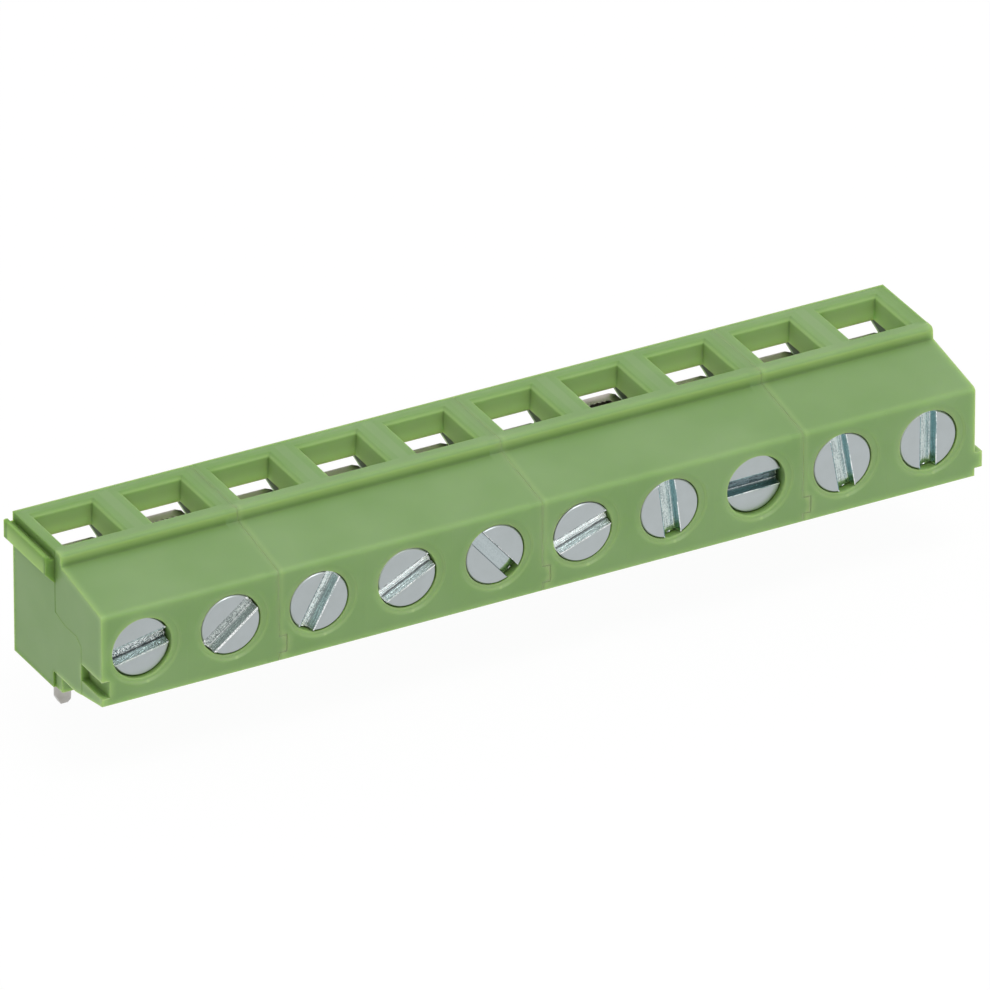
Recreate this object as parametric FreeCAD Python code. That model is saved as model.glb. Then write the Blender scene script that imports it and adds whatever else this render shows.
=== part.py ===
import FreeCAD, Part
import math
import os

# PCB screw terminal, ten poles in one row, wires entering from above,
# clamping screws on the front, solder pins below.
# Millimetres. The origin is on the axis of solder pin 1 in the plane of the
# board: +X runs along the row towards pole 10, +Y to the back, +Z up.

# Row of poles
pitch = 5.08
blocks = (2, 3, 3, 2)
block_gap = 0.004
left_margin = 2.37

# Outline of a housing block, Y measured from the row of pins
front_reach = 9.03
back_reach = 0.69
body_height = 8.12
front_bottom = 1.50
front_drop = 1.47
slope_run = 4.43
ridge_rise = 0.67
ridge_lean = 0.05
belly_height = 0.97
belly_run = 2.95
foot_reach = 4.41
foot_inset = 0.13
end_foot_reach = 3.68
end_foot_wall = 0.35
edge_round = 0.25
ridge_round = 0.25
front_wall = 1.30

# Hook rail on the left end, groove for it on the right end
rail_reach = 0.52
rail_length = 4.62
rail_drop = 0.33
rail_height = 1.01
rail_slant = 0.58
hook_wall = 0.26
hook_depth = 0.20
hook_round = 0.08
groove_clearance = 0.02
lip_inset = 0.02

# Tongue low on the right end, slot for it on the left end
tongue_reach = 0.44
tongue_length = 2.25
tongue_bottom = 1.95
tongue_height = 0.91
tongue_clearance = 0.03
relief_depth = 0.02
relief_top = 4.24
relief_slant = 0.50
relief_slant_rise = 0.35
relief_ramp = 1.00
relief_ramp_rise = 0.30

# Screw
screw_offset = 0.065
hole_radius = 1.71
head_clearance = 0.06
dish_width = 0.40
dish_depth = 0.09
head_length = 0.95
screw_length = 4.55
shank_radius = 1.10
slot_width = 0.86
slot_depth = 0.50
head_recess = (0.30, 0.08, 0.08, 0.13, 0.08, 0.05, 0.08, 0.43, 0.08, 0.13)
slot_angle = (11, 38, 61, 27, -50, 19, -83, 1, -80, 90)

# Clamping cage, a rectangular frame round the bar and the wire
thread_clearance = 0.05
shank_gap = 0.10
cage_side = 0.52
cage_front = 0.80
cage_back = 0.70
cage_length = 5.20
cage_chamfer = 0.25
tooth_pitch = 0.30
tooth_depth = 0.10
cage_clearance = 0.05
cage_bar_gap = 0.05
cage_foot_gap = 0.30
# How far each cage stands in front of its fully open place
cage_drawn = (0.86, 0.33, 0.57, 0.48, 0.62, 0.95, 0.07, 0.69, 0.46, 0.90)

# Current bar
bar_half_width = 1.00
bar_thickness = 0.80
bar_bottom = 1.35
bar_rise = 0.35
bar_bend = 0.45
bar_fit = 0.03
tip_gap = 0.02

# Solder pin, round with a four-sided point below the board and square above it
pin_radius = 0.45
pin_length = 3.30
pin_point_length = 0.50
pin_point_half = 0.20
pin_square = 0.80
tang_square = 0.50
tang_clearance = 0.02
pin_slot_clearance = 0.05

# Wire funnel in the top, Y measured from the row of pins
funnel_half_width = 1.68
funnel_offset = 0.05
funnel_draft = 0.04
funnel_front = 3.61
funnel_back = 0.18
funnel_depth = 1.42
funnel_guide = 0.63
funnel_chamfer = 0.17

# Chamber round the cage, open at the back
roof = 1.72
ceiling_gap = 0.20
floor_gap = 0.15
window_side = 2.40
window_side_drop = 1.80
window_side_depth = 2.00
window_flare = 1.30

# Places that follow from the sizes above
front = -front_reach
back = back_reach
slope_top = body_height - ridge_rise
front_top = body_height - front_drop
rail_top = body_height - rail_drop
rail_under = rail_top - rail_height
rail_foot = rail_under - rail_slant
chamber_ceiling = body_height - roof
cage_top = chamber_ceiling - ceiling_gap
cage_bottom = bar_bottom + bar_thickness + cage_foot_gap
screw_height = (cage_top + cage_bottom) / 2 - screw_offset
bar_top = chamber_ceiling + bar_rise
deepest_recess = max(head_recess)
bar_front = front + deepest_recess + screw_length + tip_gap
bar_back = bar_front + bar_thickness
head_radius = hole_radius - head_clearance
cage_hole = shank_radius + thread_clearance
cage_half_width = shank_radius + shank_gap + cage_side
cage_front_open = bar_front - cage_bar_gap - cage_front
chamber_half_width = cage_half_width + cage_clearance
chamber_front = front + front_wall
chamber_floor = cage_bottom - floor_gap
funnel_bottom = body_height - funnel_depth
over = 0.5


def block(x0, x1, y0, y1, z0, z1):
    """Rectangular solid between two corners."""
    corner = FreeCAD.Vector(x0, y0, z0)
    return Part.makeBox(x1 - x0, y1 - y0, z1 - z0, corner)


def rounded_face(points, radii, place):
    """Flat face through 2D points, each corner rounded by its own radius."""
    corners = [place(a, b) for a, b in points]
    entries = []
    middles = []
    exits = []
    for i, corner in enumerate(corners):
        before = corners[i - 1] - corner
        after = corners[(i + 1) % len(corners)] - corner
        before.normalize()
        after.normalize()
        radius = radii[i]
        if radius == 0:
            entries.append(corner)
            middles.append(None)
            exits.append(corner)
            continue
        half = before.getAngle(after) / 2
        inward = before + after
        inward.normalize()
        setback = radius / math.tan(half)
        centre = corner + inward * (radius / math.sin(half))
        entries.append(corner + before * setback)
        middles.append(centre - inward * radius)
        exits.append(corner + after * setback)
    edges = []
    for i in range(len(corners)):
        if middles[i] is not None:
            edges.append(Part.Arc(entries[i], middles[i], exits[i]).toShape())
        start = exits[i]
        end = entries[(i + 1) % len(corners)]
        if start.distanceToPoint(end) > 1e-6:
            edges.append(Part.LineSegment(start, end).toShape())
    return Part.Face(Part.Wire(edges))


def along_x(points, radii, x0, x1):
    """Solid with a (y, z) section, from x0 to x1."""
    face = rounded_face(points, radii, lambda y, z: FreeCAD.Vector(x0, y, z))
    return face.extrude(FreeCAD.Vector(x1 - x0, 0, 0))


def along_y(points, radii, y0, y1):
    """Solid with an (x, z) section, from y0 to y1."""
    face = rounded_face(points, radii, lambda x, z: FreeCAD.Vector(x, y0, z))
    return face.extrude(FreeCAD.Vector(0, y1 - y0, 0))


def along_z(points, radii, z0, z1):
    """Solid with an (x, y) section, from z0 to z1."""
    face = rounded_face(points, radii, lambda x, y: FreeCAD.Vector(x, y, z0))
    return face.extrude(FreeCAD.Vector(0, 0, z1 - z0))


def turned(points, x, y, z, axis):
    """Solid of revolution from (radius, distance) points along an axis."""
    side = FreeCAD.Vector(0, 0, 1) if axis.z == 0 else FreeCAD.Vector(1, 0, 0)
    origin = FreeCAD.Vector(x, y, z)
    corners = [origin + side * r + axis * d for r, d in points]
    wire = Part.makePolygon(corners + [corners[0]])
    return Part.Face(wire).revolve(origin, axis, 360)


def tapered_block(upper, lower):
    """Solid with flat sides between two four-cornered rings."""
    faces = [upper, lower]
    for i in range(4):
        j = (i + 1) % 4
        faces.append([upper[i], upper[j], lower[j], lower[i]])
    walls = [Part.Face(Part.makePolygon(ring + [ring[0]])) for ring in faces]
    return Part.Solid(Part.Shell(walls))


def body_section():
    """Side outline of a block above its feet, with the radius of each corner."""
    points = [
        (front, front_bottom),
        (front, front_top),
        (front + slope_run, slope_top),
        (front + slope_run + ridge_lean, body_height),
        (back, body_height),
        (back, belly_height),
        (front + belly_run, belly_height),
    ]
    radii = [0, edge_round, 0, ridge_round, 0, 0, 0]
    return points, radii


def feet(left, right):
    """Foot block under the back half, and the deeper foot of each end wall."""
    foot = block(left + foot_inset, right - foot_inset, -foot_reach, back, 0, belly_height)
    for x0, x1 in ((left, left + end_foot_wall), (right - end_foot_wall, right)):
        foot = foot.fuse(block(x0, x1, -end_foot_reach, back, 0, belly_height))
    return foot


def hook_rail(left):
    """Rail with an upturned hook along the back of the left end."""
    outer = left - rail_reach
    points = [
        (left + foot_inset, rail_foot),
        (left, rail_foot),
        (outer, rail_under),
        (outer, rail_top),
        (outer + hook_wall, rail_top),
        (outer + hook_wall, rail_top - hook_depth),
        (left + foot_inset, rail_top - hook_depth),
    ]
    radii = [0, 0, 0, hook_round, hook_round, 0, 0]
    return along_y(points, radii, back - rail_length, back)


def rail_groove(right):
    """Cut in the right end for the next block's rail, with its hooked lip."""
    face = right + block_gap
    deep = face - rail_reach - groove_clearance
    hook_inner = face - rail_reach + hook_wall + groove_clearance
    points = [
        (right + over, rail_foot - groove_clearance - over),
        (right + over, body_height + over),
        (right - lip_inset, body_height + over),
        (right - lip_inset, rail_top - hook_depth + groove_clearance),
        (hook_inner, rail_top - hook_depth + groove_clearance),
        (hook_inner, rail_top + groove_clearance),
        (deep, rail_top + groove_clearance),
        (deep, rail_under - groove_clearance),
        (face, rail_foot - 2 * groove_clearance),
    ]
    start = back - rail_length - groove_clearance
    return along_y(points, [0] * len(points), start, back + over)


def tongue(right):
    """Tongue low at the front of the right end."""
    z1 = tongue_bottom + tongue_height
    return block(right - over, right + tongue_reach, front, front + tongue_length, tongue_bottom, z1)


def tongue_slot(left):
    """Slot low at the front of the left end, open to the front."""
    deep = left - block_gap + tongue_reach + tongue_clearance
    y1 = front + tongue_length + tongue_clearance
    z0 = tongue_bottom - tongue_clearance
    z1 = tongue_bottom + tongue_height + tongue_clearance
    return block(left - over, deep, front - over, y1, z0, z1)


def end_relief(left):
    """Shallow relief over the front part of the left end face."""
    step = back - rail_length
    slot_end = front + tongue_length + tongue_clearance
    points = [
        (front - over, -over),
        (slot_end, -over),
        (slot_end, relief_top - relief_slant_rise),
        (slot_end + relief_slant, relief_top),
        (step - relief_ramp, relief_top),
        (step, relief_top + relief_ramp_rise),
        (step, body_height + over),
        (front - over, body_height + over),
    ]
    return along_x(points, [0] * len(points), left - over, left + relief_depth)


def screw_bore(x):
    """Bore for the screw head with a shallow dish round its mouth."""
    mouth = hole_radius + dish_width
    points = [
        (0, -over),
        (mouth + over * dish_width / dish_depth, -over),
        (hole_radius, dish_depth),
        (hole_radius, front_wall + over),
        (0, front_wall + over),
    ]
    return turned(points, x, front, screw_height, FreeCAD.Vector(0, 1, 0))


def cage_chamber(x):
    """Room for the cage, open at the back, its flared right side and the bar's channel."""
    wide = chamber_half_width
    room = block(x - wide, x + wide, chamber_front, back + over, chamber_floor, chamber_ceiling)
    narrow = bar_half_width + bar_fit
    y0 = bar_front - bar_fit
    leg = block(x - narrow, x + narrow, y0, back + over, bar_bottom, chamber_floor + over)
    y1 = bar_back + bar_fit
    top = block(x - narrow, x + narrow, y0, y1, chamber_ceiling - over, bar_top + bar_fit)
    side = [
        (x, chamber_ceiling - window_side_drop),
        (x + window_side, chamber_ceiling - window_side_drop),
        (x + window_side, funnel_bottom - window_flare),
        (x + funnel_offset + funnel_half_width - funnel_draft, funnel_bottom),
        (x, funnel_bottom),
    ]
    window = along_y(side, [0] * len(side), back - window_side_depth, back + over)
    return [room, leg, top, window]


def wire_funnel(x):
    """Funnel that leads the wire behind the bar, and the window behind it."""
    upper = (funnel_half_width, -funnel_front, -funnel_back)
    lower = (funnel_half_width - funnel_draft, -funnel_front + funnel_guide, -funnel_back)
    rings = []
    for (wide, y0, y1), z in ((upper, body_height), (lower, funnel_bottom)):
        left = x + funnel_offset - wide
        right = x + funnel_offset + wide
        corners = [(left, y0), (right, y0), (right, y1), (left, y1)]
        rings.append([FreeCAD.Vector(a, b, z) for a, b in corners])
    taper = tapered_block(rings[0], rings[1])
    throat = block(left, right, y0, back + over, chamber_ceiling - over, funnel_bottom)
    return [taper, throat]


def pin_slot(x):
    """Slot through the foot that lets the pin in from the back."""
    wide = max(pin_radius, pin_square / 2) + pin_slot_clearance
    return block(x - wide, x + wide, -wide, back + over, -over, bar_bottom + over)


def funnel_edges(solid):
    """Edges round the mouths of the funnels."""
    chosen = []
    for edge in solid.Edges:
        box = edge.BoundBox
        flat = abs(box.ZMin - body_height) < 1e-4 and abs(box.ZMax - body_height) < 1e-4
        inside = box.YMin > -funnel_front - 1e-4 and box.YMax < -funnel_back + 1e-4
        if flat and inside and edge.Length > funnel_half_width:
            chosen.append(edge)
    return chosen


def housing(first, poles):
    """One moulded block that carries a number of poles."""
    left = first * pitch - left_margin
    right = left + poles * pitch - block_gap
    points, radii = body_section()
    solid = along_x(points, radii, left, right)
    solid = solid.fuse([feet(left, right), hook_rail(left), tongue(right)])
    cuts = [rail_groove(right), tongue_slot(left), end_relief(left)]
    for pole in range(first, first + poles):
        x = pole * pitch
        cuts.append(screw_bore(x))
        cuts += cage_chamber(x)
        cuts += wire_funnel(x)
        cuts.append(pin_slot(x))
    solid = solid.cut(cuts).removeSplitter()
    mouths = funnel_edges(solid)
    return solid.makeChamfer(funnel_chamfer, mouths)


def screw(pole):
    """Slotted screw at the depth and angle of its pole."""
    x = pole * pitch
    y = front + head_recess[pole]
    points = [
        (0, 0),
        (head_radius, 0),
        (head_radius, head_length),
        (shank_radius, head_length),
        (shank_radius, screw_length),
        (0, screw_length),
    ]
    solid = turned(points, x, y, screw_height, FreeCAD.Vector(0, 1, 0))
    wide = 2 * hole_radius
    half = slot_width / 2
    z = screw_height
    slot = block(x - wide, x + wide, y - over, y + slot_depth, z - half, z + half)
    slot.rotate(FreeCAD.Vector(x, y, z), FreeCAD.Vector(0, -1, 0), slot_angle[pole])
    return solid.cut(slot)


def cage(pole):
    """Clamping cage: threaded front wall, two sides and a serrated back jaw."""
    x = pole * pitch
    y0 = cage_front_open - cage_drawn[pole]
    y1 = y0 + cage_length
    wide = cage_half_width
    cut = cage_chamfer
    outer = [
        (x - wide + cut, y0),
        (x + wide - cut, y0),
        (x + wide, y0 + cut),
        (x + wide, y1 - cut),
        (x + wide - cut, y1),
        (x - wide + cut, y1),
        (x - wide, y1 - cut),
        (x - wide, y0 + cut),
    ]
    solid = along_z(outer, [0] * len(outer), cage_bottom, cage_top)
    inner = wide - cage_side
    inside = block(x - inner, x + inner, y0 + cage_front, y1 - cage_back,
                   cage_bottom - over, cage_top + over)
    axis = FreeCAD.Vector(0, 1, 0)
    hole = Part.makeCylinder(cage_hole, cage_front + 2 * over,
                             FreeCAD.Vector(x, y0 - over, screw_height), axis)
    teeth = int(2 * inner / tooth_pitch)
    start = x - teeth * tooth_pitch / 2
    jaw = y1 - cage_back
    comb = [(start, jaw - over)]
    for tooth in range(teeth):
        left = start + tooth * tooth_pitch
        comb.append((left, jaw))
        comb.append((left + tooth_pitch / 2, jaw + tooth_depth))
    comb.append((start + teeth * tooth_pitch, jaw))
    comb.append((start + teeth * tooth_pitch, jaw - over))
    grooves = along_z(comb, [0] * len(comb), cage_bottom - over, cage_top + over)
    return solid.cut([inside, hole, grooves])


def bar(pole):
    """Current bar: upright plate inside the cage, bent back above the pin."""
    x = pole * pitch
    y1 = pin_square / 2
    points = [
        (bar_front + bar_bend, bar_bottom),
        (bar_front, bar_bottom + bar_bend),
        (bar_front, bar_top),
        (bar_back, bar_top),
        (bar_back, bar_bottom + bar_thickness),
        (y1, bar_bottom + bar_thickness),
        (y1, bar_bottom),
    ]
    solid = along_x(points, [0] * len(points), x - bar_half_width, x + bar_half_width)
    half = tang_square / 2 + tang_clearance
    top = bar_bottom + bar_thickness + over
    return solid.cut(block(x - half, x + half, -half, half, bar_bottom - over, top))


def pin_point(x):
    """Four wedges that leave a coined, four-sided point on the end of the pin."""
    tip = -pin_length
    top = tip + pin_point_length
    points = [
        (pin_point_half, tip),
        (pin_radius, top),
        (pin_radius + over, top),
        (pin_radius + over, tip - over),
        (pin_point_half, tip - over),
    ]
    wedges = []
    for quarter in range(4):
        wedge = along_y(points, [0] * len(points), -over, over)
        wedge.rotate(FreeCAD.Vector(0, 0, 0), FreeCAD.Vector(0, 0, 1), 90 * quarter)
        wedge.translate(FreeCAD.Vector(x, 0, 0))
        wedges.append(wedge)
    return wedges


def pin(pole):
    """Solder pin: round below the board, square above it with a tang in the bar."""
    x = pole * pitch
    axis = FreeCAD.Vector(0, 0, 1)
    stem = Part.makeCylinder(pin_radius, pin_length, FreeCAD.Vector(x, 0, -pin_length), axis)
    stem = stem.cut(pin_point(x))
    square = pin_square / 2
    tang = tang_square / 2
    upper = block(x - square, x + square, -square, square, 0, bar_bottom)
    end = block(x - tang, x + tang, -tang, tang, bar_bottom, bar_bottom + bar_thickness)
    return stem.fuse([upper, end])


def save(name, shape):
    """Write one piece as one STEP file."""
    solids = shape.Solids
    if len(solids) != 1 or not solids[0].isValid():
        raise ValueError("%s is not one valid solid" % name)
    solids[0].exportStep("parts/%s.step" % name)


def main():
    os.makedirs("parts", exist_ok=True)
    first = 0
    for number, poles in enumerate(blocks, start=1):
        save("housing_%d" % number, housing(first, poles))
        first += poles
    for pole in range(first):
        save("screw_%d" % (pole + 1), screw(pole))
        save("cage_%d" % (pole + 1), cage(pole))
        save("bar_%d" % (pole + 1), bar(pole))
        save("pin_%d" % (pole + 1), pin(pole))


main()
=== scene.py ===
"""Finishes, screw details, floor, light and camera for a ten-pole board screw terminal."""

from __future__ import annotations

import logging
import math
from dataclasses import dataclass
from enum import Enum
from typing import Any, Dict, List, Optional, Sequence, Tuple, Union

import bpy
from mathutils import Matrix, Vector, noise

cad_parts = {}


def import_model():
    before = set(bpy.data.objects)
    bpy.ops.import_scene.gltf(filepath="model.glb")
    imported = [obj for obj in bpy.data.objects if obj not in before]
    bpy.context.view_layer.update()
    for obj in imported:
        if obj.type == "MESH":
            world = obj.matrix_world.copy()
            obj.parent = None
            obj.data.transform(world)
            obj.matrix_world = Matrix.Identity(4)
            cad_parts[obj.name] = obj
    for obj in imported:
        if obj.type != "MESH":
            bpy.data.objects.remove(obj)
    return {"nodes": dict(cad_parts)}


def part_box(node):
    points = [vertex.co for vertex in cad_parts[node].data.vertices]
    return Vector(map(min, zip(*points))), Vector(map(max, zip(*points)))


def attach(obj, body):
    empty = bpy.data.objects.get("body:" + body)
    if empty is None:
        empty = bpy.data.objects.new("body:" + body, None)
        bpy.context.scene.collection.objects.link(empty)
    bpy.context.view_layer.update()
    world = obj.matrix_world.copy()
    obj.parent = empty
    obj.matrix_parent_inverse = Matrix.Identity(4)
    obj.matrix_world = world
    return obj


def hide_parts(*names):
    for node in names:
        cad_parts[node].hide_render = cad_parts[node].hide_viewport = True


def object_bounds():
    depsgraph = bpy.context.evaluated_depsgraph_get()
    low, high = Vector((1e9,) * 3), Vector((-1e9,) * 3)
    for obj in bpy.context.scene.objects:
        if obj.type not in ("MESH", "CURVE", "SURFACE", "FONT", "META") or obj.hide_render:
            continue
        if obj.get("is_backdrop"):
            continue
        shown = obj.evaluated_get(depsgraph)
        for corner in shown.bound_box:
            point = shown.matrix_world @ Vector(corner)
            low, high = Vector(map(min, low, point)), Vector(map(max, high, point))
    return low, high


MM = 0.001
POLES = 10
BLOCKS = 4
SLOT_PLACE = "slot_place"
STEPS_PER_METRE = 1e8
RAY_SAMPLES = 6

Colour = Tuple[float, float, float]
Point = Tuple[float, float, float]
Pair = Tuple[float, float]
Spot = Tuple[Vector, Vector]

log = logging.getLogger("terminal")


class Channel:
    """A number socket whose operators add Math nodes to its sheet."""

    def __init__(self, sheet: "NodeSheet", socket: bpy.types.NodeSocket) -> None:
        """Keep the sheet and the socket.

        Args:
            sheet: The sheet that new nodes go to.
            socket: An output that holds a number.
        """
        self.sheet = sheet
        self.socket = socket

    def maths(self, operation: str, *values: "Number") -> "Channel":
        """Add one Math node.

        Args:
            operation: The operation's name.
            values: Its inputs in order.

        Returns:
            The result.
        """
        node = self.sheet.node("ShaderNodeMath", {"operation": operation}, dict(enumerate(values)))
        return Channel(self.sheet, node.outputs[0])

    def __add__(self, other: "Number") -> "Channel":
        """Return self + other."""
        return self.maths("ADD", self, other)

    def __radd__(self, other: "Number") -> "Channel":
        """Return other + self."""
        return self.maths("ADD", other, self)

    def __sub__(self, other: "Number") -> "Channel":
        """Return self - other."""
        return self.maths("SUBTRACT", self, other)

    def __rsub__(self, other: "Number") -> "Channel":
        """Return other - self."""
        return self.maths("SUBTRACT", other, self)

    def __mul__(self, other: "Number") -> "Channel":
        """Return self * other."""
        return self.maths("MULTIPLY", self, other)

    def __rmul__(self, other: "Number") -> "Channel":
        """Return other * self."""
        return self.maths("MULTIPLY", other, self)

    def __truediv__(self, other: "Number") -> "Channel":
        """Return self / other."""
        return self.maths("DIVIDE", self, other)

    def __rtruediv__(self, other: "Number") -> "Channel":
        """Return other / self."""
        return self.maths("DIVIDE", other, self)

    def __pow__(self, other: "Number") -> "Channel":
        """Return self to the power of other."""
        return self.maths("POWER", self, other)

    def wrapped(self, half: float) -> "Channel":
        """Return self folded into the range from -half to half."""
        return self.maths("WRAP", self, half, -half)

    def size(self) -> "Channel":
        """Return self without its sign."""
        return self.maths("ABSOLUTE", self)

    def between(self, low: float, high: float) -> "Channel":
        """Return 0 below low, 1 above high and a straight slope between."""
        settings = {"clamp": True}
        inputs = {"Value": self, "From Min": low, "From Max": high}
        node = self.sheet.node("ShaderNodeMapRange", settings, inputs)
        return Channel(self.sheet, node.outputs["Result"])


Number = Union[float, Channel]


def distance(first: Channel, second: Channel) -> Channel:
    """Return the length of a step with two parts at right angles."""
    return (first * first + second * second) ** 0.5


class NodeSheet:
    """The node tree of one material or world."""

    def __init__(self, tree: bpy.types.NodeTree) -> None:
        """Empty the tree.

        Args:
            tree: The tree that this sheet fills.
        """
        self.tree = tree
        self.tree.nodes.clear()

    def node(
        self,
        kind: str,
        settings: Optional[Dict[str, Any]] = None,
        inputs: Optional[Dict[Union[str, int], Any]] = None,
    ) -> bpy.types.Node:
        """Add any node.

        Args:
            kind: The node's type.
            settings: Its own settings, and the stops of a ramp.
            inputs: A value, socket or channel for each named or numbered input.

        Returns:
            The new node.
        """
        made = self.tree.nodes.new(kind)
        for key, value in (settings or {}).items():
            if key == "stops":
                self._stops(made.color_ramp, value)
            else:
                setattr(made, key, value)
        for key, value in (inputs or {}).items():
            if isinstance(value, Channel):
                value = value.socket
            if isinstance(value, bpy.types.NodeSocket):
                self.tree.links.new(value, made.inputs[key])
            else:
                made.inputs[key].default_value = value
        return made

    @staticmethod
    def _stops(ramp: bpy.types.ColorRamp, stops: Sequence[Tuple[float, float]]) -> None:
        """Set the places and grey levels of a ramp.

        Args:
            ramp: The ramp to set.
            stops: Pairs of place and grey level.
        """
        while len(ramp.elements) < len(stops):
            ramp.elements.new(1.0)
        for element, (place, level) in zip(ramp.elements, stops):
            element.position = place
            element.color = (level, level, level, 1.0)

    def channel(self, node: bpy.types.Node, output: Union[str, int] = 0) -> Channel:
        """Return one output of a node as a channel."""
        return Channel(self, node.outputs[output])

    def place(self, stretch: Point = (1.0, 1.0, 1.0)) -> bpy.types.NodeSocket:
        """Return the point on the piece in metres, stretched along X, Y and Z."""
        where = self.node("ShaderNodeTexCoord").outputs["Object"]
        if stretch == (1.0, 1.0, 1.0):
            return where
        settings = {"operation": "MULTIPLY"}
        return self.node("ShaderNodeVectorMath", settings, {0: where, 1: stretch}).outputs[0]

    def axis(self, letter: str) -> Channel:
        """Return the place on the piece along X, Y or Z, in metres."""
        return self.channel(self.node("ShaderNodeSeparateXYZ", {}, {0: self.place()}), letter)

    def grain(
        self, size: float, detail: float = 3.0, rough: float = 0.55, stretch: Point = (1.0, 1.0, 1.0)
    ) -> Channel:
        """Add noise.

        Args:
            size: The size of its largest spots in metres.
            detail: Its octaves.
            rough: How strong the finer octaves are.
            stretch: Factors on X, Y and Z.

        Returns:
            A number round 0.5.
        """
        inputs = {
            "Vector": self.place(stretch),
            "Scale": 1.0 / size,
            "Detail": detail,
            "Roughness": rough,
        }
        return self.channel(self.node("ShaderNodeTexNoise", {}, inputs))

    def blend(
        self, share: Number, first: Any, second: Any, mode: str = "MIX"
    ) -> bpy.types.NodeSocket:
        """Mix two colours.

        Args:
            share: How much of the second shows.
            first: A colour or a colour socket.
            second: A colour or a colour socket.
            mode: The way of blending.

        Returns:
            The mixed colour.
        """
        pair = [(*c, 1.0) if isinstance(c, tuple) else c for c in (first, second)]
        settings = {"data_type": "RGBA", "blend_type": mode, "clamp_factor": True}
        inputs = {0: share, 6: pair[0], 7: pair[1]}
        return self.node("ShaderNodeMix", settings, inputs).outputs[2]

    def rounded(self, radius: Number) -> bpy.types.NodeSocket:
        """Return the surface normal with edges rounded by a radius in metres."""
        return self.node("ShaderNodeBevel", {"samples": RAY_SAMPLES}, {"Radius": radius}).outputs[0]

    def bump(
        self, height: Channel, depth: float, normal: bpy.types.NodeSocket
    ) -> bpy.types.NodeSocket:
        """Raise the surface.

        Args:
            height: A number whose change by 1 is the full depth.
            depth: The depth in metres.
            normal: The normal that it starts from.

        Returns:
            The new normal.
        """
        inputs = {"Strength": 1.0, "Distance": depth, "Height": height, "Normal": normal}
        return self.node("ShaderNodeBump", {}, inputs).outputs[0]

    def looked_at(self) -> Channel:
        """Return 1 for rays of the camera, of reflections and through glass, and 0 for light."""
        rays = self.node("ShaderNodeLightPath")
        seen = self.channel(rays, "Is Camera Ray")
        for kind in ("Is Glossy Ray", "Is Transmission Ray"):
            seen = seen.maths("MAXIMUM", seen, self.channel(rays, kind))
        return seen

    def edges(self, radius: float) -> Channel:
        """Return a number that rises from 0 to 1 along outer edges.

        Args:
            radius: How far from the edge it reaches, in metres.
        """
        settings = {"inside": True, "samples": RAY_SAMPLES}
        found = self.node("ShaderNodeAmbientOcclusion", settings, {"Distance": radius})
        return 1.0 - self.channel(found, "AO")

    def cavities(self, radius: float) -> Channel:
        """Return a number that rises from 0 to 1 in corners and hollows.

        Args:
            radius: How far away a wall still counts, in metres.
        """
        settings = {"samples": RAY_SAMPLES}
        found = self.node("ShaderNodeAmbientOcclusion", settings, {"Distance": radius})
        return 1.0 - self.channel(found, "AO")


def new_material(name: str) -> Tuple[bpy.types.Material, NodeSheet]:
    """Make an empty material.

    Args:
        name: Its name.

    Returns:
        The material and its sheet.
    """
    material = bpy.data.materials.new(name)
    material.use_nodes = True
    return material, NodeSheet(material.node_tree)


def close_material(sheet: NodeSheet, settings: Dict[str, Any]) -> None:
    """Add the shader and the output.

    Args:
        sheet: The material's sheet.
        settings: A value or socket for each input of the shader.
    """
    shader = sheet.node("ShaderNodeBsdfPrincipled", {}, settings)
    sheet.node("ShaderNodeOutputMaterial", {}, {"Surface": shader.outputs[0]})


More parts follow.
